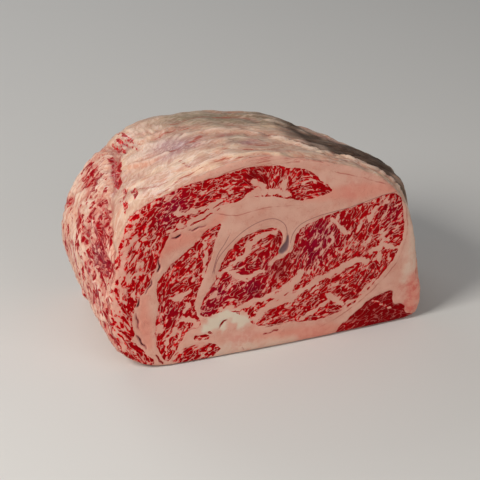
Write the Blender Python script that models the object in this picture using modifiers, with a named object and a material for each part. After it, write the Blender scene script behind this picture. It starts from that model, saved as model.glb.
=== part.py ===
"""Raw boneless beef rib roast, one solid piece of meat standing on its trimmed underside.

Frame: metres, +Z up.  +X runs along the front cut face, +Y from the front cut face to the back
cut face, and the origin is the centre of the footprint.

The roast is lofted along Y between two cut outlines.  Each outline passes through the same named
landmarks of the rib cut: the flat underside, the trimmed lean side, the shoulder, the crown of the
fat cap and the fat flank.  Rounded rims close the loft into the two flat cut faces.
"""
import math

import bmesh
import bpy
from mathutils import Vector

# Driving dimensions
WIDTH = 0.217            # across the front cut face, lean side to fat flank
FRONT_HEIGHT = 0.139     # board to crown at the front cut face
BACK_HEIGHT = 0.1275     # board to crown at the back cut face
DEPTH = 0.132            # front cut face to back cut face

# Rims where the sides turn into the cut faces
KNIFE_RIM = 0.0032       # front rim all round, except on the lean side
LEAN_RIM = 0.0095        # the softer front rim down the lean side
LEAN_RIM_START = 0.62    # share of the half width where the rim begins to soften
LEAN_RIM_REACH = 0.30
BACK_RIM = 0.0090        # back rim, slumped a little
BACK_FOOT_RIM = 0.0030   # back rim where it meets the board
BACK_FOOT_REACH = 0.035  # height over which the back rim opens out
RIM_STEPS = 2

# The front cut face has slumped forward a little at its foot
FOOT_SLUMP = 0.0042
SLUMP_HEIGHT = 0.060
SLUMP_CENTRE_X = -0.018
SLUMP_REACH_X = 0.105

# The fat cap is two layers thick.  The outer one was pulled back from the front rim along a crease,
# which leaves a step that runs level across the flank and then turns back over the crown.
CREASE_SETBACK = 0.013   # front rim to the crease at the flank
CREASE_SLANT = 0.25      # setback gained for each metre towards the crown
CREASE_TURN_X = 0.040    # where the crease turns back
CREASE_TURN_SLANT = 1.20
CREASE_RUN_OUT_X = -0.005
FLANK_X = 0.098
STEP_HEIGHT = 0.0065     # at the flank
STEP_LENGTH = 0.009      # how quickly the step rises behind the crease
STEP_FADE = 0.110        # how far behind the crease the step has died away
STEP_LOW_Z = 0.066       # the step begins above this height on the flank
STEP_HIGH_Z = 0.092

POINTS_PER_SPAN = 3
BODY_STATIONS = 9
STATION_CROWDING = 1.35  # above 1, the stations crowd towards the crease in front
SMOOTHING = 1
COLOUR = (0.60, 0.25, 0.20, 1.0)
ROUGHNESS = 0.42

# Landmarks, going round from the fat flank's foot over the crown to the lean side's foot, as
# fractions of half the width and of the height: front x, front z, back x, back z, and the belly
# in metres by which the middle of the roast stands out.
LANDMARKS = (
    (0.850, 0.000, 0.80, 0.000, 0.000),    # foot of the fat flank
    (0.965, 0.025, 0.93, 0.030, 0.001),
    (1.000, 0.094, 0.97, 0.110, 0.003),
    (0.980, 0.290, 0.97, 0.290, 0.005),
    (0.945, 0.530, 0.94, 0.500, 0.006),    # fat flank
    (0.860, 0.698, 0.85, 0.705, 0.006),
    (0.675, 0.823, 0.64, 0.826, 0.002),
    (0.345, 0.928, 0.33, 0.930, 0.001),
    (-0.025, 1.000, -0.05, 0.985, 0.001),  # crown
    (-0.300, 0.972, -0.33, 1.000, 0.001),
    (-0.580, 0.890, -0.56, 0.965, 0.001),
    (-0.830, 0.810, -0.77, 0.830, 0.002),  # shoulder
    (-0.930, 0.675, -0.96, 0.625, 0.002),
    (-0.975, 0.470, -1.04, 0.430, 0.002),  # trimmed lean side
    (-1.018, 0.265, -1.00, 0.235, 0.001),
    (-0.950, 0.078, -0.92, 0.070, 0.000),
    (-0.800, 0.004, -0.77, 0.004, 0.000),
    (-0.640, 0.000, -0.61, 0.000, 0.000),  # foot of the lean side
)
BELLY_CENTRE = 0.45      # share of the height that the belly swells away from


def smooth_step(value):
    value = min(1.0, max(0.0, value))
    return value * value * (3.0 - 2.0 * value)


def landmark_ring(along):
    """The landmarks of the outline at a place along the roast, from 0 in front to 1 at the back."""
    ring = []
    for front_x, front_z, back_x, back_z, belly in LANDMARKS:
        front = Vector((front_x * WIDTH / 2, front_z * FRONT_HEIGHT))
        back = Vector((back_x * WIDTH / 2, back_z * BACK_HEIGHT))
        point = front.lerp(back, along)
        outward = point - Vector((0.0, BELLY_CENTRE * FRONT_HEIGHT))
        ring.append(point + outward.normalized() * belly * math.sin(math.pi * along))
    return ring


def slope_at(before, here, after):
    """Slope of a smooth curve through three unevenly spaced points, per metre of its chords."""
    back = (here - before).length
    ahead = (after - here).length
    return ((here - before) / back * ahead + (after - here) / ahead * back) / (back + ahead)


def spline_outline(ring):
    """A closed smooth curve through the landmarks, kept on or above the board."""
    count = len(ring)
    slopes = [slope_at(ring[i - 1], ring[i], ring[(i + 1) % count]) for i in range(count)]
    outline = []
    for index in range(count):
        following = (index + 1) % count
        start = ring[index]
        end = ring[following]
        span = (end - start).length
        for step in range(POINTS_PER_SPAN):
            t = step / POINTS_PER_SPAN
            point = (start * (2 * t ** 3 - 3 * t ** 2 + 1)
                     + slopes[index] * span * (t ** 3 - 2 * t ** 2 + t)
                     + end * (3 * t ** 2 - 2 * t ** 3)
                     + slopes[following] * span * (t ** 3 - t ** 2))
            outline.append(Vector((point.x, max(0.0, point.y))))
    return outline


def inward_directions(outline):
    """Unit vectors square to the outline at each of its points, pointing into it."""
    count = len(outline)
    directions = []
    for index in range(count):
        run = outline[(index + 1) % count] - outline[index - 1]
        directions.append(Vector((-run.y, run.x)).normalized())
    return directions


def front_rim(point):
    """Rim radius at a point of the front outline: sharp from the knife, softer on the lean side."""
    lean = smooth_step((-2 * point.x / WIDTH - LEAN_RIM_START) / LEAN_RIM_REACH)
    return KNIFE_RIM + (LEAN_RIM - KNIFE_RIM) * lean


def back_rim(point):
    """Rim radius at a point of the back outline, tight where it meets the board."""
    return BACK_FOOT_RIM + (BACK_RIM - BACK_FOOT_RIM) * smooth_step(point.y / BACK_FOOT_REACH)


def crease_y(x):
    """Where the crease between the two fat layers lies, for a place across the roast."""
    setback = CREASE_SETBACK + CREASE_SLANT * (FLANK_X - x)
    setback += CREASE_TURN_SLANT * max(0.0, CREASE_TURN_X - x)
    return -DEPTH / 2 + setback


def layer_step(point, y):
    """How far the outer fat layer stands out at a point of the outline at y."""
    across = min(1.0, max(0.0, (point.x - CREASE_RUN_OUT_X) / (FLANK_X - CREASE_RUN_OUT_X)))
    up = smooth_step((point.y - STEP_LOW_Z) / (STEP_HIGH_Z - STEP_LOW_Z))
    behind = y - crease_y(point.x)
    rise = smooth_step(behind / STEP_LENGTH)
    fade = 1.0 - smooth_step(behind / STEP_FADE)
    return STEP_HEIGHT * across * up * rise * fade


def foot_slump(point, along):
    """How far a point leans forward of the upright front cut face."""
    low = max(0.0, 1.0 - point.y / SLUMP_HEIGHT)
    middle = max(0.0, 1.0 - ((point.x - SLUMP_CENTRE_X) / SLUMP_REACH_X) ** 2)
    return FOOT_SLUMP * low ** 1.5 * middle * (1.0 - along) ** 2


def rim_ring(outline, y_face, way, radius_at, share):
    """One ring of a rounded rim, from the flat cut face (share 0) to the side (share 1)."""
    angle = math.pi / 2 * share
    ring = []
    for point, inward in zip(outline, inward_directions(outline)):
        radius = radius_at(point)
        place = point + inward * radius * (1.0 - math.sin(angle))
        y = y_face + way * radius * (1.0 - math.cos(angle))
        ring.append(Vector((place.x, y - foot_slump(place, 0.0 if way > 0 else 1.0), place.y)))
    return ring


def body_ring(along):
    """One ring of the sides between the two rims."""
    y = -DEPTH / 2 + KNIFE_RIM + (DEPTH - KNIFE_RIM - BACK_RIM) * along
    outline = spline_outline(landmark_ring(along))
    ring = []
    for point, inward in zip(outline, inward_directions(outline)):
        place = point - inward * layer_step(point, y)
        soft_rim = (front_rim(point) - KNIFE_RIM) * (1.0 - along)
        ring.append(Vector((place.x, y + soft_rim - foot_slump(point, along), place.y)))
    return ring


def loft_rings():
    """Rings of points from the front cut face to the back cut face."""
    shares = [step / RIM_STEPS for step in range(RIM_STEPS + 1)]
    front = spline_outline(landmark_ring(0.0))
    back = spline_outline(landmark_ring(1.0))
    rings = [rim_ring(front, -DEPTH / 2, 1.0, front_rim, share) for share in shares]
    for station in range(1, BODY_STATIONS):
        rings.append(body_ring((station / BODY_STATIONS) ** STATION_CROWDING))
    rings += [rim_ring(back, DEPTH / 2, -1.0, back_rim, share) for share in shares[::-1]]
    return rings


def centred(rings):
    """The rings moved so that the footprint's box is centred on the origin."""
    places = [place for ring in rings for place in ring]
    middle_x = (min(place.x for place in places) + max(place.x for place in places)) / 2
    middle_y = (min(place.y for place in places) + max(place.y for place in places)) / 2
    shift = Vector((middle_x, middle_y, 0.0))
    return [[place - shift for place in ring] for ring in rings]


def meat_material():
    material = bpy.data.materials.new("raw_marbled_beef")
    material.use_nodes = True
    shader = material.node_tree.nodes["Principled BSDF"]
    shader.inputs["Base Color"].default_value = COLOUR
    shader.inputs["Roughness"].default_value = ROUGHNESS
    shader.inputs["Metallic"].default_value = 0.0
    return material


def build_roast(collection):
    shape = bmesh.new()
    rings = [[shape.verts.new(place) for place in ring] for ring in centred(loft_rings())]
    count = len(rings[0])
    for near, far in zip(rings, rings[1:]):
        for index in range(count):
            following = (index + 1) % count
            shape.faces.new((near[index], near[following], far[following], far[index]))
    shape.faces.new(rings[0])
    shape.faces.new(rings[-1])
    bmesh.ops.recalc_face_normals(shape, faces=shape.faces)
    mesh = bpy.data.meshes.new("rib_roast")
    shape.to_mesh(mesh)
    shape.free()
    mesh.shade_smooth()
    mesh.materials.append(meat_material())
    roast = bpy.data.objects.new("rib_roast", mesh)
    collection.objects.link(roast)
    softening = roast.modifiers.new("soft_meat", "SUBSURF")
    softening.levels = SMOOTHING
    softening.render_levels = SMOOTHING


for leftover in list(bpy.data.objects):
    bpy.data.objects.remove(leftover, do_unlink=True)
beef = bpy.data.collections.new("beef_rib_roast")
bpy.context.scene.collection.children.link(beef)
build_roast(beef)
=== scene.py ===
import math

import bmesh
import bpy
import numpy as np
from mathutils import Matrix, Vector, noise


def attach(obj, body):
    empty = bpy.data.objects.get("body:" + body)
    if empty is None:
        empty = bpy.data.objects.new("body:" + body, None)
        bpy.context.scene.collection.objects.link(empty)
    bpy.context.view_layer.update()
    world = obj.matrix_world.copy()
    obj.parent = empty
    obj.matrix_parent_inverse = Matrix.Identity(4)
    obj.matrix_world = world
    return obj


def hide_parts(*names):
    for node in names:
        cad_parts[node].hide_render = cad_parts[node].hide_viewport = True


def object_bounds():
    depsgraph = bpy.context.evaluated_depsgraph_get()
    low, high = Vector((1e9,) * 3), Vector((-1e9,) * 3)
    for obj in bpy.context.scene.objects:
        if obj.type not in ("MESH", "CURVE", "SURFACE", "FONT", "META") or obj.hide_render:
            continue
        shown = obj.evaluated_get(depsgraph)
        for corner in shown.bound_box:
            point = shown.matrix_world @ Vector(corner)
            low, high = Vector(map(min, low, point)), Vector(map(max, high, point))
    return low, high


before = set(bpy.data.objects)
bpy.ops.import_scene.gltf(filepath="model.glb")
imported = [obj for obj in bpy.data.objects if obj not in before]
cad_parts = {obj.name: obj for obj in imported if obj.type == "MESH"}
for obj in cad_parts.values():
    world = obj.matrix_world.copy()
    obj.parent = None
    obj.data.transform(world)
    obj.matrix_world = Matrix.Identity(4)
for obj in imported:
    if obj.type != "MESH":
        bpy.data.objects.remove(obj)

cad_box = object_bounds()

# ---------------------------------------------------------------------------------------------
# The roast's block.
# One boneless piece of rib: muscle and hard fat, cut square across at both ends with a long
# knife and standing on its trimmed underside.  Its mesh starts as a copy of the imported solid,
# redrawn as an even net of small faces, with a finer net on the front cut face.
# ---------------------------------------------------------------------------------------------
MM = 0.001
NET = 1.56 * MM           # side of one face of the net
RIM_KEPT = 3.5           # mm from a cut face within which the solid's rim is left as it is
RIM_TO_SIDE = 8.0        # mm from a cut face where the sides are smoothed in full
SIDE_SMOOTHING = 16


def rise(value, low, high):
    """0 below low, 1 above high, and a soft step between them."""
    share = np.clip((value - low) / (high - low), 0.0, 1.0)
    return share * share * (3.0 - 2.0 * share)


def places_of(mesh):
    """The mesh's points in millimetres, one row each."""
    flat = np.empty(len(mesh.vertices) * 3)
    mesh.vertices.foreach_get("co", flat)
    return flat.reshape(-1, 3) / MM


def facings_of(mesh):
    """The direction in which the surface faces at each point."""
    flat = np.empty(len(mesh.vertices) * 3)
    mesh.vertex_normals.foreach_get("vector", flat)
    return flat.reshape(-1, 3)


bpy.ops.object.select_all(action="DESELECT")
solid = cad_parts["rib_roast"]
roast = bpy.data.objects.new("raw_rib_roast", solid.data.copy())
bpy.context.scene.collection.objects.link(roast)
bpy.context.view_layer.objects.active = roast
roast.select_set(True)

bpy.ops.object.mode_set(mode="EDIT")
bpy.ops.mesh.select_all(action="SELECT")
bpy.ops.mesh.remove_doubles(threshold=0.01 * MM)
bpy.ops.object.mode_set(mode="OBJECT")
bpy.ops.mesh.customdata_custom_splitnormals_clear()

net = roast.modifiers.new("even_net", "REMESH")
net.mode = "VOXEL"
net.voxel_size = NET
bpy.ops.object.modifier_apply(modifier=net.name)

spots = places_of(roast.data)
facing = facings_of(roast.data)
upper = spots[:, 2] > 70.0
FRONT = float(np.median(spots[upper & (facing[:, 1] < -0.99), 1]))   # y of the front cut face
BACK = float(np.median(spots[upper & (facing[:, 1] > 0.99), 1]))     # y of the back cut face

sides = roast.vertex_groups.new(name="sides")
from_cut = np.minimum(spots[:, 1] - FRONT, BACK - spots[:, 1])
side_share = rise(from_cut, RIM_KEPT, RIM_TO_SIDE) * rise(spots[:, 2], 1.0, 6.0)
for index, share in enumerate(side_share.tolist()):
    if share > 0.0:
        sides.add([index], share, "REPLACE")
smoothing = roast.modifiers.new("soft_sides", "SMOOTH")
smoothing.vertex_group = sides.name
smoothing.factor = 0.5
smoothing.iterations = SIDE_SMOOTHING
bpy.ops.object.modifier_apply(modifier=smoothing.name)
roast.vertex_groups.clear()

bpy.ops.object.mode_set(mode="EDIT")
bpy.ops.mesh.select_all(action="DESELECT")
bpy.ops.object.mode_set(mode="OBJECT")
for face in roast.data.polygons:
    face.select = face.normal.y < -0.7 and face.center.y < (FRONT + 6.0) * MM
bpy.ops.object.mode_set(mode="EDIT")
bpy.ops.mesh.subdivide(number_cuts=1)
bpy.ops.object.mode_set(mode="OBJECT")

spots = places_of(roast.data)
facing = facings_of(roast.data)

# ---------------------------------------------------------------------------------------------
# The muscles of the cut.
# The knife shows them end on: the cap over the top and down the lean side, the rib eye in the
# middle, a long muscle beside it, a small one below and a very lean flap at the foot.  Seams and
# lumps of hard fat part them.  All places are millimetres across (x) and up (z) the cut face.
# ---------------------------------------------------------------------------------------------

# A band is a line of (x, z, half width).
CAP = ((46, 106, 1), (36, 109, 7), (24, 114, 11), (-2, 121, 11), (-25, 119, 11), (-48, 113, 14),
       (-61, 111, 15), (-74, 107, 16), (-83.5, 89, 14), (-91, 70, 13.5), (-96, 61, 12.5), (-100, 49, 10),
       (-101, 39, 8.5), (-99.5, 28, 7))
FOOT_BAND = ((-104, 30, 4), (-100, 21, 5.5), (-93, 12, 6), (-85, 5, 4))
# An outline is a closed line of (x, z).
RIB_EYE = ((91, 96.5), (97, 82), (95.5, 63), (88, 47), (78, 36), (64, 24), (52, 17), (30, 14), (10, 17),
           (-9, 18), (-20, 28), (-32, 33), (-46, 31), (-48, 40), (-38, 56), (-30, 71), (-20, 82),
           (-6, 87), (6, 87), (12, 80), (8, 70), (10, 65), (17, 71), (22, 82), (40, 89), (66, 93.5))
SIDE_MUSCLE = ((-30, 97), (-33, 88), (-37, 77), (-43, 60), (-51, 42), (-48, 26), (-58, 22), (-67, 9),
               (-73, 3), (-79, 15), (-79, 30), (-76, 46), (-76, 60), (-66, 73), (-53, 82), (-43, 92))
FOOT_MUSCLE = ((-69, 3), (-64, 11), (-50, 14), (-44, 13), (-37, 10), (-37, 4), (-56, -2))
FLAP = ((88, 25), (73, 22), (60, 14), (45, 2), (60, -4), (102, -2), (105, 3), (97, 6), (96, 12),
        (88, 16))
SMALL_ISLANDS = (((-52, 18, 2.6), (-45, 17, 2.2)), ((-43, 20, 1.2), (-41, 19, 1.0)))
THIN_FLECKS = (((-36, 21, 0.4), (-34, 25, 1.0), (-30, 27, 0.6)), ((-6, 11, 0.6), (4, 13, 0.8)),
               ((-4, 16, 0.5), (6, 17, 0.7)), ((-21, 5, 0.5), (-20, 3, 0.5)),
               ((-80, 10, 0.7), (-76, 3, 0.9)))

# Streaks of fat that run through the muscles.
FAT_STREAKS = (
    ((15, 33, 1.4), (25, 39, 1.2), (45, 46, 1.3), (60, 52, 2.2), (70, 50, 1.0)),
    ((72, 57, 1.2), (81, 59, 1.4), (92, 56, 0.8)),
    ((78, 47, 0.9), (79, 53, 1.3)),
    ((71, 79, 0.5), (74, 86, 0.7), (84, 92, 0.2)),
    ((80, 80, 0.5), (86, 86, 0.6), (94, 88, 0.5)),
    ((46, 85, 0.8), (50, 80, 1.1), (55, 74, 1.2)),
    ((45, 76, 0.6), (45, 69, 1.0)),
    ((41, 31, 0.9), (46, 26, 1.7), (53, 20, 0.8)),
    ((54, 22, 0.8), (63, 24, 1.0), (73, 35, 1.0)),
    ((21, 18, 0.8), (32, 22, 1.0), (41, 27, 0.8)),
    ((-34, 60, 1.0), (-22, 66, 1.2), (-14, 73, 1.5), (-11, 79, 1.5), (-2, 83, 1.3), (6, 84, 1.2)),
    ((-27, 60, 0.9), (-15, 55, 1.2), (-3, 58, 0.8)),
    ((-31, 34, 1.3), (-16, 35, 1.6), (-2, 38, 1.8), (9, 40, 2.8), (19, 47, 2.8), (24, 53, 1.0)),
    ((-15, 21, 1.0), (-2, 30, 1.8), (9, 34, 2.2), (20, 37, 1.5)),
    ((-20, 30, 1.3), (-14, 21, 1.3)),
    ((12, 78, 1.6), (15, 70, 1.6), (9, 66, 2.0), (3, 62, 0.8)),
    ((-15, 106, 2.0), (-9, 113, 2.3), (-2, 117, 2.4), (-7, 121, 1.0)),
    ((-2, 113, 1.5), (10, 111, 1.7), (17, 107, 0.8)),
    ((13, 113, 0.7), (14, 118, 1.1), (16, 121, 0.6)),
    ((25, 114, 0.4), (29, 116, 0.8), (35, 113, 0.5)),
    ((-66, 96, 0.9), (-52, 101, 1.2), (-36, 106, 1.2), (-22, 108, 1.0)),
    ((-60, 108, 0.8), (-44, 108, 1.1), (-30, 112, 0.9)),
    ((-63, 48, 1.6), (-58, 49, 1.4), (-53, 51, 0.8)),
    ((-59, 37, 1.0), (-56, 42, 1.4)),
    ((-78, 27, 1.2), (-75, 30, 1.5)),
    ((-63, 31, 0.8), (-56, 32, 1.1), (-50, 26, 1.2)),
    ((-43, 84, 0.7), (-42, 70, 0.9), (-45, 60, 0.8)),
    ((-73, 10, 0.6), (-71, 19, 0.8), (-65, 26, 0.9)),
    ((72, 19, 0.3), (79, 16, 0.6), (86, 12, 0.3)),
)
HARD_FAT = ((-44, 24, 4.0), (-36, 26, 6.0), (-28, 30, 4.5), (-19, 22, 4.0))       # the grey-white lump
# Paler fat along the foot and the right edge of the cut face. The band along the foot is painted lighter as painted
# light, where the lamps leave the foot darker.
PALE_FAT_AND_LIGHT = (((-60, 1, 3), (-34, 3, 6), (-10, 4, 5), (14, 3, 3)), ((97, 32, 3), (103, 48, 5), (104, 66, 4), (102, 82, 3)))
SALMON_FAT = (((-72, 83, 4), (-62, 88, 5), (-45, 91, 4), (-30, 101, 3)),
              ((-85, 51, 3), (-86, 33, 4), (-84, 18, 3)),
              ((30, 104, 3), (60, 103, 5), (88, 100, 4)),
              ((-10, 8, 4), (30, 6, 5), (60, 2, 3)), ((102, 34, 2), (103, 18, 4), (101, 8, 3)))
# Thin silver skin over the muscles, and the vein that it folds round.
SILVER_SKINS = (((-37, 62), (-34, 71), (-26, 80), (-16, 88), (-4, 93), (6, 93), (13, 87), (14, 78)),
                ((16, 74), (18, 80), (24, 86), (38, 90), (58, 92), (79, 96), (90, 97)),
                ((-26, 86), (-29, 81), (-34, 74), (-38, 62)))
# Fainter seams, where two layers of fat meet.
FAINT_SEAMS = (((98, 88), (99, 72), (97, 60), (91, 46), (80, 34), (66, 23), (50, 14), (36, 9)),
               ((-40, 128), (-22, 131), (-2, 134), (18, 133), (40, 127)), ((-14, 129), (4, 131), (24, 130)),
               ((-8, 136), (12, 136), (30, 132), (48, 125)), ((104, 84), (105, 66), (106, 48), (105, 34)),
               ((50, 118), (66, 112), (84, 104)), ((-34, 104), (-20, 100), (0, 102), (20, 100)))
VEIN = ((14.5, 79, 0.5), (14, 75, 1.2), (12, 71, 2.3), (10, 69, 2.0))
# Slits where two muscles have come apart: purple at the edge, and a nearly black core of painted shade.
SLITS = (((-64, 91, 0.2), (-61, 91, 0.6), (-58, 92, 0.7)), ((-52, 95, 0.1), (-47, 95, 0.3), (-41, 97, 0.1)),
         ((-74, 80, 0.0), (-73.5, 73, 0.7), (-74, 70, 0.6)), ((-79, 64, 0.1), (-80, 60, 0.4), (-84, 55, 0.1)),
         ((-88, 51, 0.3), (-89, 47, 0.7)), ((-91, 42, 0.1), (-90, 36, 0.4), (-89, 29, 0.1)),
         ((-92, 26, 0.1), (-89, 22, 0.7), (-86, 15, 0.1)))

# Where the meat is leaner or fatter than the rest: (x, z, reach, how much).
RICHER = ((-5, 123, 9, 0.40), (9, 57, 9, 0.35), (-9, 43, 8, 0.25), (7, 77, 5, 0.30), (-38, 78, 8, 0.15),
          (-90, 76, 12, -0.10), (78, 10, 20, 0.85), (24, 72, 8, 0.15), (-74, 60, 9, 0.15),
          (55, 82, 8, 0.15), (-42, 102, 8, 0.15),
          (-105, 66, 8, -0.3), (-107, 48, 9, -0.4), (-105, 30, 9, -0.35), (-98, 14, 6, -0.25),
          (-94, 92, 5, -0.15), (-92, 62, 12, -0.12), (-96, 36, 9, -0.10),
          (-101, 74, 7, -0.50), (-97, 84, 6, -0.50), (-91, 97, 6, -0.50), (-85, 107, 4, -0.30), (-105, 58, 7, -0.30), (-104, 44, 7, -0.25),
          (60, 62, 10, -0.12), (38, 52, 8, -0.12), (-15, 84, 8, 0.05), (86, 89, 7, 0.30),
          (-12, 62, 6, -0.10), (30, 118, 8, -0.10), (-50, 92, 6, -0.1))
# Where blood has tinted the cut fat, and on the lower left rim a painted orange glow of bounced light: (x, z, reach,
# how much).
BLUSH_AND_GLOW = ((-101, 74, 7, 0.6), (-96, 88, 6, 0.6), (-89, 101, 6, 0.5), (103, 24, 9, 0.9), (99, 8, 8, 0.9), (-102, 40, 7, 0.7), (-99, 62, 6, 0.6), (-72, 80, 6, 0.5),
         (-20, 8, 12, 0.5), (30, 6, 12, 0.4), (-80, 30, 6, 0.4), (-62, 92, 8, 0.4), (60, 104, 9, 0.4))
# Where the lean looks purple, not yet bloomed in the air: (x, z, reach, how much).
PURPLE = ((-60, 114, 8, 0.9), (-68, 104, 6, 0.6), (38, 76, 12, 0.9), (30, 62, 10, 0.6),
          (-12, 46, 7, 0.9), (-34, 46, 7, 0.9), (-44, 36, 5, 0.8), (-22, 58, 8, 0.5), (0, 60, 9, 0.4),
          (88, 82, 8, 0.5), (-66, 40, 9, 0.3))
# How the grain of the meat runs: (x, z, degrees up from level).
GRAIN = (
    (23, 40, 25), (40, 60, 68), (45, 62, 75), (35, 80, 65), (57, 84, 65), (57, 53, 25), (68, 62, 50),
    (80, 85, 50), (86, 64, 25), (91, 51, 60), (75, 50, 55), (67, 41, 50), (70, 30, 45), (40, 20, 15),
    (54, 8, 30), (74, 20, 25), (83, 3, 10), (-41, 72, 70), (-35, 93, 35), (-13, 57, 5), (-6, 77, 30),
    (8, 75, 70), (-19, 82, 20), (4, 86, -5), (10, 85, -45), (-29, 69, 60), (-10, 46, 70), (-27, 38, 20),
    (-11, 39, 15), (-29, 61, 30), (-37, 50, 55), (-13, 28, 50), (-1, 22, 15), (3, 65, 70), (19, 75, 45),
    (22, 38, 30), (25, 55, 70), (30, 107, 10), (40, 113, -40), (-2, 126, -40), (6, 126, 90),
    (10, 125, 50), (-30, 124, 12), (-46, 114, 15), (-65, 108, 40), (-41, 102, 15), (-78, 108, 45),
    (-81, 94, 50), (-89, 76, 60), (-77, 81, 70), (-93, 63, 70), (-101, 44, 105), (-89, 20, 120),
    (-53, 72, 40), (-71, 64, 65), (-76, 55, 75), (-62, 55, 30), (-72, 32, 75), (-67, 27, 50),
    (-65, 7, 50), (-53, 12, 10), (-41, 2, 20),
)
GRAIN_REACH = 5.0        # mm over which neighbouring runs of grain melt together
DIRECTIONS = 6           # fixed directions out of which any run of the grain is mixed


def smooth_curve(points, closed=False, steps=4):
    """The points joined by a soft curve that passes through each of them."""
    points = np.array(points, float)
    count = len(points)
    spans = count if closed else count - 1
    curve = []
    for span in range(spans):
        four = [points[(span + k) % count] if closed else points[min(max(span + k, 0), count - 1)]
                for k in (-1, 0, 1, 2)]
        for step in range(steps):
            t = step / steps
            curve.append(0.5 * ((2 * four[1]) + (four[2] - four[0]) * t
                                + (2 * four[0] - 5 * four[1] + 4 * four[2] - four[3]) * t ** 2
                                + (3 * four[1] - four[0] - 3 * four[2] + four[3]) * t ** 3))
    curve.append(points[0] if closed else points[-1])
    return np.array(curve)


def follow(where, curve, wide=False):
    """How far each place is from a curve, on which side of it, and its width there."""
    size = where.shape[1]
    nearest = np.full(len(where), 1e6)
    side = np.ones(len(where))
    width = np.zeros(len(where))
    for start, end in zip(curve[:-1], curve[1:]):
        run = end[:size] - start[:size]
        share = np.clip((where - start[:size]) @ run / max(run @ run, 1e-9), 0.0, 1.0)
        gap = where - start[:size] - share[:, None] * run
        distance = np.linalg.norm(gap, axis=1)
        closer = distance < nearest
        nearest[closer] = distance[closer]
        if size == 2:
            turn = run[0] * gap[:, 1] - run[1] * gap[:, 0]
            side[closer] = np.where(turn[closer] < 0.0, -1.0, 1.0)
        if wide:
            along = start[size] + share * (end[size] - start[size])
            width[closer] = along[closer]
    return nearest, side, width


def depth_in_band(where, band):
    """Millimetres inside a band, less than 0 outside it."""
    nearest, _, width = follow(where, smooth_curve(band), wide=True)
    return width - nearest


def depth_in_outline(where, outline):
    """Millimetres inside a closed outline, less than 0 outside it."""
    curve = smooth_curve(outline, closed=True)
    nearest, _, _ = follow(where, curve)
    crossings = np.zeros(len(where), int)
    for start, end in zip(curve[:-1], curve[1:]):
        spans = (start[1] > where[:, 1]) != (end[1] > where[:, 1])
        rise_here = end[1] - start[1] if end[1] != start[1] else 1e-9
        meets = start[0] + (where[:, 1] - start[1]) * (end[0] - start[0]) / rise_here
        crossings += spans & (where[:, 0] < meets)
    return np.where(crossings % 2 == 1, nearest, -nearest)


def patches(where, places):
    """The sum of soft round patches of (x, z, reach, how much)."""
    total = np.zeros(len(where))
    for x, z, reach, amount in places:
        gap = ((where[:, 0] - x) ** 2 + (where[:, 1] - z) ** 2) / reach ** 2
        total += amount * np.exp(-gap)
    return total


def swells(where, size, shift=0.0):
    """Soft random height from about -1 to 1, with swells as wide as size in millimetres."""
    scaled = np.broadcast_to(where / np.array(size, float) + shift, where.shape)
    if scaled.shape[1] == 2:
        scaled = np.column_stack((scaled, np.full(len(scaled), shift)))
    return np.array([noise.noise(spot) for spot in scaled.tolist()])


def comb_grain(where, strokes):
    """The way the grain runs at each place, as the cosine and sine of twice its angle."""
    total = np.zeros((len(where), 2))
    for x, z, degrees in strokes:
        near = 1.0 / (((where - (x, z)) ** 2).sum(axis=1) + GRAIN_REACH ** 2) ** 2
        double = math.radians(2.0 * degrees)
        total += near[:, None] * (math.cos(double), math.sin(double))
    return total / np.linalg.norm(total, axis=1)[:, None]


def grained(where, run, long, wide, shift=0.0):
    """Soft random height in swells that lie the way the grain runs, so long and so wide."""
    total = np.zeros(len(where))
    for index in range(DIRECTIONS):
        turned = math.pi * index / DIRECTIONS
        agrees = run[:, 0] * math.cos(2.0 * turned) + run[:, 1] * math.sin(2.0 * turned)
        along = where[:, 0] * math.cos(turned) + where[:, 1] * math.sin(turned)
        across = where[:, 1] * math.cos(turned) - where[:, 0] * math.sin(turned)
        laid = np.column_stack((along / long, across / wide, where[:, 2] / long))
        total += np.clip(2.0 * agrees - 1.0, 0.0, 1.0) * swells(laid, 1.0, shift + 7.3 * index)
    return total


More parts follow.
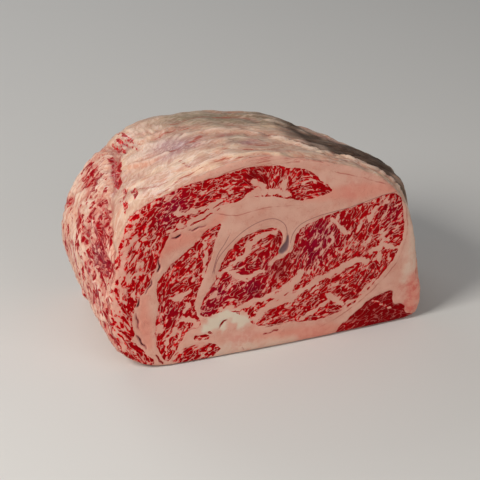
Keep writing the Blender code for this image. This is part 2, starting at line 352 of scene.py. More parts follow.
def muscles_at(where, drift):
    """What the knife shows at each place of a cut face."""
    ragged = where + 1.1 * np.column_stack((swells(where, 5.0, 3.1 + drift), swells(where, 5.0, 8.7 + drift)))
    ragged += 0.5 * np.column_stack((swells(where, 2.2, 1.3 + drift), swells(where, 2.2, 5.9 + drift)))
    bodies = [depth_in_band(ragged, CAP), depth_in_band(ragged, FOOT_BAND),
              depth_in_outline(ragged, RIB_EYE), depth_in_outline(ragged, SIDE_MUSCLE),
              depth_in_outline(ragged, FOOT_MUSCLE), depth_in_outline(ragged, FLAP)]
    bodies += [depth_in_band(ragged, band) for band in SMALL_ISLANDS]
    depth = np.max(bodies, axis=0)
    torn = ragged + 1.3 * np.column_stack((swells(where, 3.4, 4.1 + drift), swells(where, 3.4, 7.7 + drift)))
    fatty = np.max([depth_in_band(torn, streak) for streak in FAT_STREAKS], axis=0)
    fatty += 0.9 * swells(where, 4.2, 2.9 + drift)
    flecks = np.max([depth_in_band(ragged, band) for band in THIN_FLECKS], axis=0)
    pale_and_lit = rise(np.max([depth_in_band(torn, band) for band in PALE_FAT_AND_LIGHT], axis=0), -3.0, 3.0)
    silver = np.full(len(where), 5.0)
    for skin in SILVER_SKINS:
        nearest, side, _ = follow(where, smooth_curve(skin))
        closer = nearest < np.abs(silver)
        silver[closer] = (nearest * side)[closer]
    faint = np.full(len(where), 5.0)
    for seam in FAINT_SEAMS:
        nearest, side, _ = follow(where + 0.4 * (ragged - where), smooth_curve(seam))
        closer = nearest < np.abs(faint)
        faint[closer] = (nearest * side)[closer]
    return {
        "depth": np.maximum(depth, flecks),
        "share": 0.88 + patches(where, RICHER) - 1.3 * rise(fatty, -1.0, 0.5) + 0.5 * (flecks > -1.0),
        "run": comb_grain(where, GRAIN),
        "purple": np.clip(patches(ragged, PURPLE), 0.0, 1.0),
        "hard_fat_and_light": np.maximum(rise(depth_in_band(torn, HARD_FAT) + 3.0 * swells(torn, 4.5, 6.6), -2.2, 2.4), 0.5 * pale_and_lit),
        "blush": np.clip(patches(torn, BLUSH_AND_GLOW), 0.0, 1.0),
        "salmon": rise(np.max([depth_in_band(ragged, band) for band in SALMON_FAT], axis=0), -3.0, 3.0),
        "silver": silver,
        "faint": faint,
        "vein": rise(depth_in_band(where, VEIN), -0.8, 0.5),
        "slit": rise(np.max([depth_in_band(ragged, slit) for slit in SLITS], axis=0), -0.8, 0.5),
    }


# ---------------------------------------------------------------------------------------------
# The outside of the roast.
# A cap of hard cream fat covers the top and the flank in two layers, the outer one pulled back
# from a ragged crease.  The lean side was trimmed with the knife along the muscles, so red strands
# and patches show between torn strips of fat.  All places are millimetres, x, y and z.
# ---------------------------------------------------------------------------------------------
CREASE = ((101, -52), (88, -49.5), (76, -45), (63, -42.5), (54, -39.5), (41, -36), (28, -22), (16, -10),
          (6, 7), (2, 22))                     # x and y of the crease in the fat cap
CREASE_FADES = (4.0, 34.0)                     # x where it dies out, and where it is at its deepest
FURROW = ((-66, 74), (-58, 86), (-50, 96), (-39, 103), (-28, 106), (-13, 111), (12, 114), (37, 115),
          (66, 108))                           # y and z of the furrow between fat cap and lean side

# Lean patches of the trimmed side: line of (x, y, z, half width), then its share of lean.
SIDE_SHARE = -0.06       # everywhere else on it
SIDE_PATCHES = (
    (((-99, -14, 98, 8), (-103, -34, 86, 13), (-104, -48, 72, 8)), 0.45),
    (((-91, 52, 98, 6), (-93, 32, 101, 8), (-97, 16, 97, 6)), 0.42),
    (((-109, -12, 62, 6), (-109, -30, 48, 9), (-107, -48, 34, 6)), 0.36),
    (((-106, 22, 80, 4), (-108, 0, 74, 6)), 0.40),
    (((-108, 40, 60, 6), (-106, 52, 44, 6)), 0.30),
    (((-96, -20, 103, 3), (-98, -18, 98, 6), (-100, -36, 93, 8), (-101, -48, 93, 4)), 0.62),
    (((-101, -4, 92, 4), (-104, -8, 83, 5), (-108, -8, 73, 3)), 0.50),
    (((-103, -26, 86, 6), (-103, -44, 84, 4)), 0.60),
    (((-107, -20, 71, 5), (-106, -34, 72, 8), (-104, -50, 74, 6), (-102, -58, 72, 3)), 0.72),
    (((-79, 30, 114, 2.0), (-81, 12, 114, 3.4), (-84, -5, 113, 3.6), (-85, -16, 111, 3.0)), 0.62),
    (((-75, 25, 118, 1.2), (-78, 8, 116, 1.5)), 0.80),
    (((-91, 53, 98, 2), (-92, 38, 101, 4), (-95, 32, 96, 4)), 0.62),
    (((-90, 20, 105, 3), (-94, 15, 101, 4), (-99, 18, 95, 2)), 0.62),
    (((-66, 56, 120, 0.9), (-64, 36, 122, 1.2), (-60, 16, 124, 0.7)), 0.62),
    (((-70, 52, 118, 0.9), (-68, 34, 120, 1.3), (-63, 8, 122.5, 0.7)), 0.66),
    (((-75, 50, 115.5, 0.9), (-72, 34, 117.5, 1.3), (-68, 12, 120, 0.7)), 0.66),
    (((-88, -38, 112, 2.2), (-84, -29, 115, 2.2)), 0.60),
    (((-80, -35, 117, 1.4), (-80, -45, 117, 1.8), (-82, -50, 116, 1.0)), 0.60),
    (((-87, -42, 113, 1.4), (-89, -56, 109, 2.0)), 0.60),
    (((-106, 22, 79, 2), (-107, 5, 79, 3), (-108, -2, 72, 2)), 0.50),
    (((-109, 10, 68, 1), (-111, 3, 52, 1.4)), 0.60),
    (((-111, -3, 52, 1.5), (-111, -9, 44, 1.2)), 0.50),
    (((-109, -18, 60, 1.5), (-110, -28, 50, 2.5), (-109, -38, 36, 1.5)), 0.50),
    (((-107, -38, 64, 2), (-107, -48, 57, 3), (-106, -58, 48, 2)), 0.45),
    (((-108, -46, 44, 1.5), (-106, -55, 30, 1.5)), 0.40),
    (((-95, -60, 94, 2), (-89, -63, 94, 3)), 0.75),
    (((-87, -62, 98, 2), (-82, -63, 105, 2.5), (-77, -62, 112, 1.5)), 0.70),
    (((-92, -62, 86, 2), (-94, -62, 78, 2.5), (-97, -62, 70, 2)), 0.60),
    (((-108, 30, 60, 2), (-108, 42, 52, 3), (-106, 52, 45, 2)), 0.50),
    (((-106, 46, 80, 3), (-104, 56, 72, 3)), 0.55),
)
# Thin blood-red threads in the outer fat: line of (x, y), half width in mm.
THREADS = (
    ((-46, -32), (-43, -44), (-37, -52), (-30, -56)), ((-54, -8), (-45, -13), (-33, -10), (-24, -4)),
    ((-78, -38), (-70, -46), (-62, -50)), ((-20, -40), (-4, -46), (14, -50)), ((-56, 14), (-44, 20), (-28, 18)),
    ((-81, -61), (-65, -59), (-48, -54), (-29, -55), (-9, -61)), ((-3, -49), (7, -48), (25, -41)),
    ((-8, -34), (6, -38), (20, -40), (28, -44)), ((34, -46), (48, -50), (60, -54)), ((-38, 30), (-16, 36), (8, 34)),
)
# Grey-mauve silver skin left on the fat: (x, y, reach, how much).
MAUVE = ((-44, -2, 13, 1.0), (-34, -14, 10, 0.8), (-50, -16, 8, 0.6), (-8, -26, 6, 0.7), (4, -33, 5, 0.6),
         (-9, -10, 5, 0.9), (-1, -33, 4, 0.8), (-66, 30, 10, 0.4), (20, 30, 12, 0.4))
GREY_SKIN_AND_SHADE = ((-22, 44, 22, 1.0), (8, 30, 20, 1.0), (38, 30, 26, 1.0), (-4, -20, 10, 0.8))   # greenish grey skin, partly painted shade and painted grey sheen on the back of the top
# How the strands run: (y, z, degrees up from level) on the side, (x, y, degrees) on the top.
SIDE_GRAIN = ((44, 117, 167), (12, 114, 179), (38, 103, 108), (50, 92, 100), (8, 104, 130), (-1, 91, 146),
              (-40, 82, 14), (-41, 67, 165), (-10, 53, 20), (-50, 52, 35), (-60, 57, 81), (-54, 101, 85),
              (-32, 90, 5), (-61, 88, 92), (-60, 25, 85), (-30, 25, 60), (10, 25, 75), (20, 70, 60),
              (45, 60, 95), (45, 25, 85))
TOP_GRAIN = ((-85, -40, 80), (-70, -45, 45), (-50, -50, 15), (-20, -50, 5), (-60, -20, 50), (-80, 0, 80),
             (-80, 40, 90), (-30, -20, 15), (10, -20, 160), (40, -20, 170), (70, -30, 165), (100, -40, 150),
             (0, 30, 5), (50, 20, 175), (100, 20, 120))
FOLDS = (((-30, 3, 2.2), (-16, 4, 3.0), (-4, 0, 3.0), (13, -14, 1.8)),
         ((-30, -15, 1.8), (-16, -20, 2.8), (-4, -21, 2.5), (7, -30, 1.5)),
         ((22, -21, 3.0), (33, -28, 4.0), (47, -29, 4.0), (59, -35, 4.5), (66, -45, 4.0), (78, -50, 4.0),
          (95, -53, 3.0)),
         ((-62, 30, 2.0), (-50, 24, 2.6), (-36, 26, 1.8)), ((-72, -2, 1.5), (-62, -10, 2.2), (-50, -12, 1.5)),
         ((-58, -52, 0.8), (-36, -50, 1.2), (-14, -54, 1.0), (12, -57, 0.8)),
         ((30, 20, 1.5), (48, 10, 2.4), (66, 4, 1.6)), ((10, 40, 1.6), (34, 36, 2.4), (60, 40, 1.6)))
SHINY = ((-94, -58, 98, 9), (-70, -52, 122, 8), (-107, -20, 60, 9), (-92, -20, 108, 7))   # x, y, z, reach
PURPLE_SKIN = ((-104, -44, 75, 9), (-106, -28, 71, 7))    # (x, y, z, reach) on the trimmed side


front = rise(-facing[:, 1], 0.45, 0.85) * rise(FRONT + 9.0 - spots[:, 1], 0.0, 3.0)
back = rise(facing[:, 1], 0.55, 0.9) * rise(spots[:, 1], BACK - 9.0, BACK - 6.0)
uncut = (1.0 - front) * (1.0 - back)
under = uncut * rise(-facing[:, 2], 0.35, 0.75)
furrow_height = np.interp(spots[:, 1], [p[0] for p in FURROW], [p[1] for p in FURROW])
below_furrow = furrow_height - spots[:, 2]
trimmed = uncut * (1.0 - under) * rise(-facing[:, 0], 0.1, 0.5) * rise(below_furrow, -1.5, 3.0)
cap = uncut * (1.0 - under) * (1.0 - trimmed)
on_top = cap * rise(facing[:, 2], 0.1, 0.5)

crease = smooth_curve(CREASE)
crease_gap, crease_side, _ = follow(spots[:, :2], crease)
crease_there = cap * rise(spots[:, 0], *CREASE_FADES) * rise(spots[:, 2], 64.0, 90.0)
behind_crease = crease_gap * -crease_side      # mm behind the crease, less than 0 in front of it

# ---------------------------------------------------------------------------------------------
# Shaping the meat.
# Cold fat and muscle keep the marks of the knife, the boning and the hanging: soft swells on the
# cut faces, slits and a vein that open in them, wrinkled fat above, and torn strands at the side.
# ---------------------------------------------------------------------------------------------
BACK_DRIFT = 7.0         # mm by which the muscles wander on their way to the back cut face
BACK_LIFT = 139.0 / 128.0    # the front cut face's height over the back one's
SECOND_LAYER_DROP = 4.2      # mm by which the fat cap's second layer lies below the first one's edge


def ridges(where, size, shift=0.0):
    """Random creases from 0 to 1: 1 on the crest of each fold, as wide as size in millimetres."""
    return 1.0 - np.minimum(1.0, 2.2 * np.abs(swells(where, size, shift)))


def at_cut_faces(name):
    """One of the muscles' fields over the whole roast, from its front and back cut faces."""
    field = np.full(len(spots), OUTSIDE[name])
    field[on_front] = seen_in_front[name]
    field[on_back] = seen_behind[name]
    return field


OUTSIDE = {"depth": -5.0, "share": 0.5, "purple": 0.0, "blush": 0.0, "hard_fat_and_light": 0.0, "salmon": 0.0, "silver": 5.0, "faint": 5.0,
           "vein": 0.0, "slit": 0.0}
on_front = front > 0.02
on_back = back > 0.02
in_front = spots[on_front][:, (0, 2)]
behind = spots[on_back][:, (0, 2)] * (1.02, BACK_LIFT)
behind += BACK_DRIFT * np.column_stack((swells(behind, 45.0, 2.7), swells(behind, 45.0, 6.1)))
seen_in_front = muscles_at(in_front, 0.0)
seen_behind = muscles_at(behind, 31.0)
seen_behind["silver"] = np.full(len(behind), 5.0)
fields = {name: at_cut_faces(name) for name in OUTSIDE}

on_side = (trimmed > 0.01) | ((cap > 0.01) & (facing[:, 0] < -0.1))
ragged_side = spots[on_side] + 1.6 * np.column_stack([swells(spots[on_side], 6.0, k) for k in (1.1, 5.3, 9.7)])
leanest = np.full(len(ragged_side), -0.8)
leanest[trimmed[on_side] > 0.5] = SIDE_SHARE
leanest += 0.22 * rise(-spots[on_side][:, 2], -72.0, -45.0) * (leanest > -0.5)
for patch, patch_share in SIDE_PATCHES:
    nearest, _, width = follow(ragged_side, smooth_curve(patch), wide=True)
    here = rise(width - nearest, -2.0, 1.0)
    leanest = np.maximum(leanest, leanest + (1.15 * patch_share + 0.06 - leanest) * here)
side_share = np.full(len(spots), -0.8)
side_share[on_side] = leanest
from_front = spots[:, 1] - FRONT
side_share += 0.7 * trimmed * np.exp(-(from_front / 7.0) ** 2) * rise(105.0 - spots[:, 2], 0.0, 20.0) * (side_share < 0.5)
cut = on_front | on_back
depth = np.where(cut, fields["depth"], 2.0)
share = np.where(cut, fields["share"], side_share)

# The plane in which the grain lies at each point, and which way it runs there.
flat = np.where((trimmed > 0.5)[:, None], spots[:, (1, 2, 0)], spots[:, (0, 1, 2)])
flat[cut] = spots[cut][:, (0, 2, 1)]
run = comb_grain(flat[:, :2], TOP_GRAIN)
run[trimmed > 0.5] = comb_grain(spots[trimmed > 0.5][:, (1, 2)], SIDE_GRAIN)
run[on_front] = seen_in_front["run"]
run[on_back] = seen_behind["run"]

height = (front + back) * (0.35 * swells(spots, 24.0) + 0.14 * swells(spots, 8.0, 2.0))
height += front * 0.12 * rise(-depth, -0.5, 1.0)
height -= 0.8 * fields["slit"] + 0.9 * fields["vein"]

wrinkled = spots + 3.5 * np.column_stack([swells(spots, 19.0, k) for k in (1.7, 4.9, 8.3)])
bent = wrinkled[:, (0, 1, 2)].copy()
lumps = 1.2 * swells(wrinkled, (30.0, 18.0, 30.0), 1.0) + 0.8 * swells(spots, 10.0, 3.3)
folded = np.max([depth_in_band(wrinkled[:, :2], fold) for fold in FOLDS], axis=0)
lumps += on_top * 1.3 * rise(folded, -2.5, 1.5)
wrinkles = np.zeros(len(spots))
wrinkles[cap > 0.01] = np.minimum(1.0, 3.6 * np.abs(grained(bent[cap > 0.01], run[cap > 0.01], 24.0, 6.0, 2.0)))
creased = cap * rise(swells(spots, 26.0, 8.8), -0.3, 0.2)
fur = lumps * cap + creased * 0.85 * (wrinkles - 0.7)
knobs = 1.4 * (np.minimum(1.0, 3.0 * np.abs(swells(spots, (7.0, 5.0, 7.0), 3.0))) - 0.4)
fur += crease_there * rise(-behind_crease, -1.0, 1.5) * rise(behind_crease, -13.0, -7.0) * knobs

strand = np.zeros(len(spots))
on_strands = trimmed > 0.01
strand[on_strands] = np.minimum(1.0, 4.0 * np.abs(grained(flat[on_strands], run[on_strands], 19.0, 5.0, 1.0))) ** 0.7
fine_strand = np.zeros(len(spots))
fine_strand[on_strands] = np.abs(grained(flat[on_strands], run[on_strands], 9.0, 2.8, 5.0))
fur += trimmed * (1.9 * (strand - 0.6) + 1.8 * (fine_strand - 0.15) + 1.2 * swells(spots, 17.0, 2.2))
fur -= 0.5 * (1.0 - front) * rise(side_share, 0.3, 0.7)
furrow = uncut * rise(-facing[:, 0], 0.1, 0.5) * np.exp(-(below_furrow / 2.6) ** 2)
fur -= furrow * (1.5 + 0.9 * swells(spots, 11.0, 7.0))
# The crease groove: it is cut into the mesh below, and its mask also paints shade into the colour.
crevice = crease_there * np.exp(-(behind_crease / 1.6) ** 2)
fur -= crevice * (1.6 + 1.2 * swells(spots, 9.0, 4.0))
height += fur

from_rim = np.minimum(spots[:, 1] - FRONT, BACK - spots[:, 1])
rim = rise(from_rim, 0.0, 1.5) * rise(-from_rim, -7.0, -2.5)
height += rim * (0.45 * swells(spots, 8.0, 11.0) + 0.25 * swells(spots, 3.4, 12.0))
height *= 1.0 - under
height *= rise(spots[:, 2], 0.0, 3.0)

moved = spots + facing * height[:, None]
second_layer = rise(behind_crease, -0.5, 3.5) * rise(spots[:, 0], 30.0, 62.0) * rise(-spots[:, 0], -108.0, -98.0)
moved[:, 2] -= SECOND_LAYER_DROP * second_layer * rise(spots[:, 2], 55.0, 92.0)
low = np.array(cad_box[0]) / MM
high = np.array(cad_box[1]) / MM
moved = np.clip(moved, low, high)
roast.data.vertices.foreach_set("co", (moved * MM).ravel())
roast.data.update()
roast.data.shade_smooth()

# What the meat's finish follows, kept on the mesh point by point.
torn_side = (trimmed > 0.5) & ~cut
flat[torn_side] *= (0.9, 0.55, 0.8)
flat[torn_side, 1] += 0.35 * np.maximum(spots[torn_side, 2] - 100.0, 0.0)
threads = np.max([width - follow(wrinkled[:, :2], smooth_curve(line))[0]
                  for line, width in ((line, 0.9) for line in THREADS)], axis=0)
mauve = cap * np.clip(patches(wrinkled[:, :2], MAUVE), 0.0, 1.0)
grey_skin_and_shade = cap * np.clip(patches(wrinkled[:, :2], GREY_SKIN_AND_SHADE), 0.0, 1.0)
purple = fields["purple"].copy()
for x, y, z, reach in PURPLE_SKIN:
    purple += trimmed * np.exp(-((spots - (x, y, z)) ** 2).sum(axis=1) / reach ** 2)
shiny = np.zeros(len(spots))
for x, y, z, reach in SHINY:
    shiny += uncut * np.exp(-((spots - (x, y, z)) ** 2).sum(axis=1) / reach ** 2)
# The dried second layer of the fat cap behind the crease: browner of its own, and painted darker still as painted
# shade where it faces away from the lamps.
dry_and_shade = crease_there * rise(behind_crease, -1.0, 3.0) * rise(spots[:, 0], 12.0, 60.0)
dry_and_shade *= rise(-behind_crease, -80.0, -40.0) * rise(spots[:, 2] + 14.0 * swells(spots, 13.0, 5.5), 62.0, 86.0)
dry_and_shade = np.clip(dry_and_shade * (0.8 + 0.7 * swells(spots, 12.0, 1.9)), 0.0, 1.0)


def keep_on_mesh(name, *values):
    """Stores one number, or three, at each point of the roast's mesh."""
    kind = "FLOAT" if len(values) == 1 else "FLOAT_VECTOR"
    store = roast.data.attributes.new(name, kind, "POINT")
    store.data.foreach_set("value" if len(values) == 1 else "vector", np.column_stack(values).ravel())


keep_on_mesh("flat", *flat.T)
keep_on_mesh("run", run[:, 0], run[:, 1], fields["faint"])
keep_on_mesh("lean", depth, share, np.clip(purple, 0.0, 1.0))
keep_on_mesh("cut_fat", fields["hard_fat_and_light"], fields["salmon"], fields["vein"])
keep_on_mesh("seams", fields["silver"], np.maximum(fields["slit"], 0.0), crevice)
keep_on_mesh("outside", np.clip(cap + trimmed, 0.0, 1.0), trimmed, dry_and_shade)
keep_on_mesh("fat_cap", mauve, grey_skin_and_shade, threads)
keep_on_mesh("relief", fur, np.clip(shiny, 0.0, 1.0), fields["blush"])

# ---------------------------------------------------------------------------------------------
# Raw marbled beef.
# Fresh lean is dark cherry red, wet and a little glossy, split by threads of soft pink-cream fat
# that run with the grain; where it is uncut, hard cream fat with silver skin and dried patches,
# the dried ones darkened further with painted shade.
# ---------------------------------------------------------------------------------------------
beef = bpy.data.materials.new("raw_marbled_beef")
beef.use_nodes = True
tree = beef.node_tree
tree.nodes.clear()


def add(kind, inputs=None, take=0, **settings):
    """Adds a node with its settings and what feeds it, and gives one of its outputs."""
    node = tree.nodes.new("ShaderNode" + kind)
    for name, value in settings.items():
        setattr(node, name, value)
    for socket, value in (inputs or {}).items():
        if isinstance(value, bpy.types.NodeSocket):
            tree.links.new(value, node.inputs[socket])
        else:
            node.inputs[socket].default_value = value
    return node.outputs[take]


def hue(hex_colour):
    """A colour given as sRGB hex, turned linear for the shader."""
    linear = []
    for place in (0, 2, 4):
        part = int(hex_colour[place:place + 2], 16) / 255.0
        linear.append(part / 12.92 if part <= 0.04045 else ((part + 0.055) / 1.055) ** 2.4)
    return (*linear, 1.0)


def kept(name):
    """The three numbers kept on the mesh under a name."""
    vector = add("Attribute", take="Vector", attribute_name=name)
    parts = tree.nodes.new("ShaderNodeSeparateXYZ")
    tree.links.new(vector, parts.inputs[0])
    return parts.outputs[0], parts.outputs[1], parts.outputs[2]


def sum_of(first, second, factor=1.0):
    return add("Math", {0: second, 1: factor, 2: first}, operation="MULTIPLY_ADD")


def share_of(value, low, high, bottom=0.0, top=1.0):
    """bottom where a value is under low, top above high, with a soft step between."""
    return add("MapRange", {"Value": value, "From Min": low, "From Max": high, "To Min": bottom, "To Max": top},
               interpolation_type="SMOOTHSTEP")


def times(first, second):
    return add("Math", {0: first, 1: second}, operation="MULTIPLY")


def blend(share, under, over):
    """One colour laid over another."""
    return add("MixRGB", {"Fac": share, "Color1": under, "Color2": over})


def meat_noise(size, detail, roughness=0.5, shift=0.0):
    """Noise through the roast, its cells as long, deep and high as size in millimetres."""
    place = add("Mapping", {"Vector": position, "Location": (shift, shift * 0.7, shift * 1.3),
                            "Scale": tuple(1.0 / (part * MM) for part in size)})
    return add("TexNoise", {"Vector": place, "Scale": 1.0, "Detail": detail, "Roughness": roughness})


flat_place = add("Attribute", take="Vector", attribute_name="flat")
run_cosine, run_sine, faint_gap = kept("run")
lean_depth, lean_share, purple_share = kept("lean")
hard_fat_and_light_share, salmon_fat, vein_share = kept("cut_fat")
silver_gap, slit_share, crevice_share = kept("seams")
outside, trimmed_share, dry_and_shade_share = kept("outside")
mauve_share, grey_skin_and_shade_share, thread_depth = kept("fat_cap")
relief_height, shiny_share, blush_and_glow_share = kept("relief")
position = add("TexCoord", take="Object")

# Marbling: bundles of lean a few millimetres long and one or two thick, lying the way the grain
# runs.  Noise stretched in six directions is laid together by how near each is to the grain.
BUNDLE = (5.8, 2.35, 12.0)      # mm: cells of the widest of the three sizes of bundle
marbling = None
parting = None
for index in range(DIRECTIONS):
    turned = math.pi * index / DIRECTIONS
    place = add("Mapping", {"Vector": flat_place, "Rotation": (0.0, 0.0, turned), "Scale": BUNDLE,
                            "Location": (37.0 * index, 11.0 * index, 0.0)}, vector_type="TEXTURE")
    bundles = add("TexNoise", {"Vector": place, "Scale": 1.0, "Detail": 1.6, "Roughness": 0.6,
                               "Distortion": 0.4})
    partings = add("TexNoise", {"Vector": place, "Scale": 0.8, "Detail": 0.8, "Roughness": 0.6,
                                "Distortion": 0.6})
    agrees = sum_of(times(run_cosine, math.cos(2.0 * turned)), run_sine, math.sin(2.0 * turned))
    weight = add("MapRange", {"Value": agrees, "From Min": 0.5, "From Max": 1.0})
    bundle_part = times(sum_of(bundles, 0.5, -1.0), weight)
    parting_part = times(sum_of(partings, 0.5, -1.0), weight)
    marbling = bundle_part if marbling is None else sum_of(marbling, bundle_part)
    parting = parting_part if parting is None else sum_of(parting, parting_part)
line = add("Math", {0: lean_share, 1: -0.24, 2: 0.12}, operation="MULTIPLY_ADD")
clumps = meat_noise((11.0, 14.0, 9.0), 1.0, 0.5, 2.0)
line = sum_of(line, sum_of(clumps, 0.5, -1.0), 0.16)
border = share_of(lean_depth, -0.35, 0.75, 0.75, 0.0)
skin_line = times(share_of(lean_depth, 0.1, 0.5), share_of(lean_depth, 0.9, 1.7, 0.045, 0.0))
line = sum_of(sum_of(line, border), skin_line, -1.0)
above = sum_of(marbling, line, -1.0)
lean = share_of(above, -0.018, 0.022)
thread_gap = add("Math", {0: parting}, operation="ABSOLUTE")
thread = times(share_of(thread_gap, 0.012, 0.040, 1.0, 0.0), share_of(lean_share, 0.9, 1.2, 0.95, 0.6))
lean = times(lean, sum_of(1.0, thread, -1.0))
bleed = share_of(above, -0.075, 0.0)
heart = share_of(above, 0.015, 0.10)

# Lean: bright at the thin edges, darker in the heart of each bundle, purple where not yet bloomed.
tone = meat_noise((11.0, 7.0, 11.0), 2.0, 0.6, 7.0)
red = blend(heart, hue("DE0A15"), hue("920008"))
red = blend(share_of(tone, 0.35, 0.65, 0.0, 0.55), red, hue("B20209"))
red = blend(times(purple_share, 0.7), red, hue("74062C"))
red = blend(share_of(lean_share, 0.95, 1.25, 0.0, 0.55), red, hue("6A0206"))
red = blend(times(trimmed_share, 0.5), red, hue("8E1420"))

# Fat: pink-cream where cut, salmon in the soft seams, grey-white in the hard lump and in the pale bands, the one
# along the foot painted lighter as painted light.
mottle = meat_noise((16.0, 9.0, 16.0), 3.0, 0.6, 9.0)
cut_fat = blend(share_of(mottle, 0.35, 0.65), hue("DAA895"), hue("D29B88"))
cut_fat = blend(times(salmon_fat, 0.6), cut_fat, hue("DC8A76"))
fibre = times(share_of(thread_gap, 0.0, 0.022, 1.0, 0.0), share_of(mottle, 0.38, 0.6, 0.05, 0.42))
cut_fat = blend(fibre, cut_fat, hue("BC6E60"))
# Grey-white of the hard lump and of the pale fat, which along the foot is painted light.
cut_fat = blend(times(hard_fat_and_light_share, 0.85), cut_fat, hue("D8CDB8"))
streaky = meat_noise((9.0, 1.6, 9.0), 2.0, 0.6, 12.0)
# Blood in the cut fat. On the lower left rim it also paints an orange glow of bounced light.
blood_and_glow = times(blush_and_glow_share, share_of(meat_noise((5.0, 5.0, 5.0), 3.0, 0.65, 25.0), 0.4, 0.62, 0.1, 0.75))
cut_fat = blend(blood_and_glow, cut_fat, hue("C8564E"))
cut_fat = blend(share_of(streaky, 0.56, 0.72, 0.0, 0.35), cut_fat, hue("CE8472"))

cream = blend(share_of(mottle, 0.38, 0.62), hue("E9C3A6"), hue("D69C84"))
cream = blend(share_of(streaky, 0.55, 0.7, 0.0, 0.3), cream, hue("CF9D87"))
skin = share_of(meat_noise((30.0, 13.0, 24.0), 3.0, 0.55, 23.0), 0.46, 0.53)
cream = blend(times(skin, 0.45), cream, hue("C39A88"))
skin_rim = share_of(add("Math", {0: sum_of(skin, 0.5, -1.0)}, operation="ABSOLUTE"), 0.1, 0.45, 0.35, 0.0)
cream = blend(times(skin_rim, sum_of(1.0, trimmed_share, -1.0)), cream, hue("F4E4D4"))
cream = blend(times(mauve_share, 0.85), cream, hue("A8787A"))
# Greenish grey skin on the back of the top. It also stands for the shade and the grey sheen there, so it is partly
# painted light.
cream = blend(times(grey_skin_and_shade_share, 0.8), cream, hue("877A62"))
cream = blend(times(trimmed_share, 0.5), cream, hue("DDA28E"))
blush = times(share_of(lean_share, -0.1, 0.7, 0.0, 0.6), trimmed_share)
cream = blend(blush, cream, hue("D07C70"))
# Painted shade in the hollows of the relief, and painted highlight on its crests.
cream = blend(share_of(relief_height, -1.8, -0.1, 0.85, 0.0), cream, hue("B06A5C"))
cream = blend(share_of(relief_height, 0.3, 1.6, 0.0, 0.6), cream, hue("F2D6C2"))
strand_line = share_of(thread_gap, 0.0, 0.045, 1.0, 0.0)
line_share = sum_of(share_of(mottle, 0.45, 0.6, 0.0, 0.15), trimmed_share, 0.45)
cream = blend(times(strand_line, line_share), cream, hue("BC6A5C"))
cream = blend(share_of(thread_gap, 0.06, 0.16, 0.0, 0.30), cream, hue("EFD3BE"))
blood_thread = share_of(sum_of(thread_depth, share_of(streaky, 0.3, 0.7, -1.2, 0.8)), -0.3, 0.4)
cream = blend(times(blood_thread, 0.75), cream, hue("B04A36"))
# Dried second layer behind the crease: the brown of dried fat, darkened further as painted shade.
dried_and_shaded = share_of(sum_of(dry_and_shade_share, streaky, 0.6), 0.35, 1.15)
cream = blend(times(dried_and_shaded, 0.93), cream, blend(share_of(streaky, 0.4, 0.65), hue("3C2B23"), hue("6C594B")))
fat = blend(outside, cut_fat, cream)
inside_muscle = times(share_of(lean_depth, 0.3, 1.5), sum_of(0.4, outside, -0.4))
fat = blend(inside_muscle, fat, hue("DCA290"))
stained = times(share_of(lean_share, 0.95, 1.25, 0.0, 0.6), share_of(lean_depth, -0.3, 0.5))
fat = blend(stained, fat, hue("A4443E"))
fat = blend(times(bleed, 0.35), fat, hue("C8585A"))

surface = blend(lean, fat, red)
silver_line = share_of(add("Math", {0: silver_gap}, operation="ABSOLUTE"), 0.12, 0.42, 0.7, 0.0)
surface = blend(silver_line, surface, hue("8A5452"))
faint_line = share_of(add("Math", {0: faint_gap}, operation="ABSOLUTE"), 0.15, 0.6, 1.0, 0.0)
faint_line = times(faint_line, share_of(streaky, 0.38, 0.6, 0.1, 0.75))
surface = blend(faint_line, surface, hue("B45F52"))
surface = blend(times(vein_share, 0.9), surface, hue("6C5058"))
surface = blend(share_of(slit_share, 0.1, 0.6, 0.0, 0.7), surface, hue("9A3A44"))
# Painted shade: the nearly black core of each slit.
surface = blend(share_of(slit_share, 0.55, 0.9, 0.0, 0.95), surface, hue("1E060C"))
# Dark brown in the crease groove: painted shade, with some of the orange-brown of the fat's torn edge.
surface = blend(times(crevice_share, 0.75), surface, hue("70341F"))

# Relief too fine for the mesh: lean lies a hair lower than the fat, and all of it is finely wet.
grit = meat_noise((1.2, 0.7, 1.2), 3.0, 0.6, 15.0)
wrinkle = meat_noise((7.0, 1.7, 7.0), 3.0, 0.6, 17.0)
level = sum_of(times(lean, -0.5), grit, 0.45)
level = sum_of(level, times(wrinkle, outside), 0.85)
level = sum_of(level, times(share_of(thread_gap, 0.0, 0.09), outside), 0.75)
relief = add("Bump", {"Height": level, "Strength": 0.55, "Distance": 0.35 * MM})

gloss = share_of(grit, 0.3, 0.7, 0.30, 0.46)
gloss = sum_of(gloss, lean, -0.05)
gloss = sum_of(gloss, dried_and_shaded, 0.12)
shader = tree.nodes.new("ShaderNodeBsdfPrincipled")
shader.inputs["IOR"].default_value = 1.42
shader.inputs["Metallic"].default_value = 0.0
shader.inputs["Subsurface Weight"].default_value = 0.05
shader.inputs["Subsurface Radius"].default_value = (1.0, 0.30, 0.18)
shader.inputs["Subsurface Scale"].default_value = 0.8 * MM
shader.inputs["Specular IOR Level"].default_value = 0.05
wet = share_of(meat_noise((15.0, 9.0, 15.0), 2.0, 0.6, 21.0), 0.44, 0.64, 0.10, 0.38)
wet = sum_of(wet, times(shiny_share, share_of(grit, 0.42, 0.6, 0.3, 1.0)), 0.7)
wet = times(wet, sum_of(1.0, dried_and_shaded, -1.0))
tree.links.new(times(outside, wet), shader.inputs["Coat Weight"])
shader.inputs["Coat Roughness"].default_value = 0.14
tree.links.new(surface, shader.inputs["Base Color"])
tree.links.new(gloss, shader.inputs["Roughness"])
tree.links.new(relief, shader.inputs["Normal"])
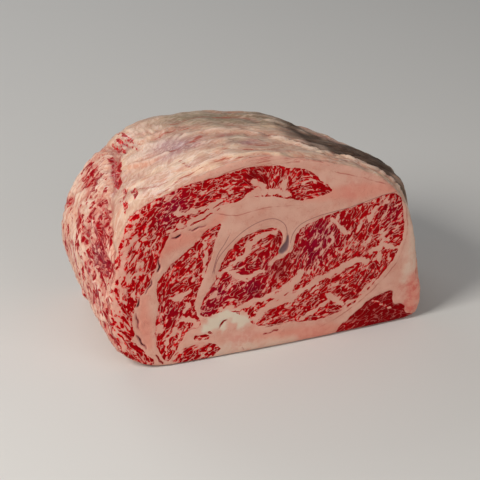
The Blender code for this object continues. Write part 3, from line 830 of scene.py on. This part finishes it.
output = tree.nodes.new("ShaderNodeOutputMaterial")
tree.links.new(shader.outputs["BSDF"], output.inputs["Surface"])
roast.data.materials.clear()
roast.data.materials.append(beef)

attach(roast, "root")
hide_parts("rib_roast")

# ---------------------------------------------------------------------------------------------
# The studio.
# A plain pale floor, one large soft lamp high on the left, a weaker one in front and pale air.
# ---------------------------------------------------------------------------------------------
bpy.ops.object.select_all(action="DESELECT")
bpy.ops.mesh.primitive_plane_add(size=6.0, location=(0.0, 0.0, 0.0))
floor = bpy.context.active_object
floor.name = "pale_floor"
paper = bpy.data.materials.new("matt_studio_paper")
paper.use_nodes = True
paper_shader = paper.node_tree.nodes["Principled BSDF"]
paper_shader.inputs["Base Color"].default_value = hue("D9D7D3")
paper_shader.inputs["Roughness"].default_value = 0.8
floor.data.materials.append(paper)


def soft_lamp(name, place, aim, size, power, colour):
    """A square lamp at a place, turned to face the point it is aimed at."""
    lamp = bpy.data.lights.new(name, "AREA")
    lamp.shape = "SQUARE"
    lamp.size = size
    lamp.energy = power
    lamp.color = colour
    holder = bpy.data.objects.new(name, lamp)
    holder.location = place
    holder.rotation_euler = (Vector(aim) - Vector(place)).to_track_quat("-Z", "Y").to_euler()
    bpy.context.scene.collection.objects.link(holder)


soft_lamp("main_lamp", (-0.92, -0.40, 0.88), (0.0, 0.0, 0.07), 0.55, 13.0, (1.0, 0.97, 0.93))
soft_lamp("back_lamp", (-0.25, 1.10, 0.80), (0.0, 0.0, 0.10), 0.60, 2.6, (0.97, 0.98, 1.0))
soft_lamp("front_lamp", (0.45, -1.20, 0.55), (0.0, 0.0, 0.06), 0.80, 4.2, (1.0, 0.98, 0.96))
world = bpy.data.worlds.new("pale_air")
world.use_nodes = True
world.node_tree.nodes["Background"].inputs["Color"].default_value = hue("D8DADD")
world.node_tree.nodes["Background"].inputs["Strength"].default_value = 0.24
bpy.context.scene.world = world
bpy.context.scene.view_settings.view_transform = "Standard"

# ---------------------------------------------------------------------------------------------
# The camera, standing in front and a little to the left, looking down on the cut face.
# ---------------------------------------------------------------------------------------------
CAMERA_PLACE = (-0.3275, -1.1059, 0.600)
CAMERA_AIM = Vector((0.2568, 0.8654, -0.4302))
CAMERA_ROLL = math.radians(2.56)
lens = bpy.data.cameras.new("camera")
lens.lens = 139.05
lens.sensor_width = 36.0
camera = bpy.data.objects.new("camera", lens)
turn = CAMERA_AIM.to_track_quat("-Z", "Y").to_matrix().to_4x4()
camera.matrix_world = (Matrix.Translation(CAMERA_PLACE) @ turn @ Matrix.Rotation(-CAMERA_ROLL, 4, "Z"))
bpy.context.scene.collection.objects.link(camera)
bpy.context.scene.camera = camera
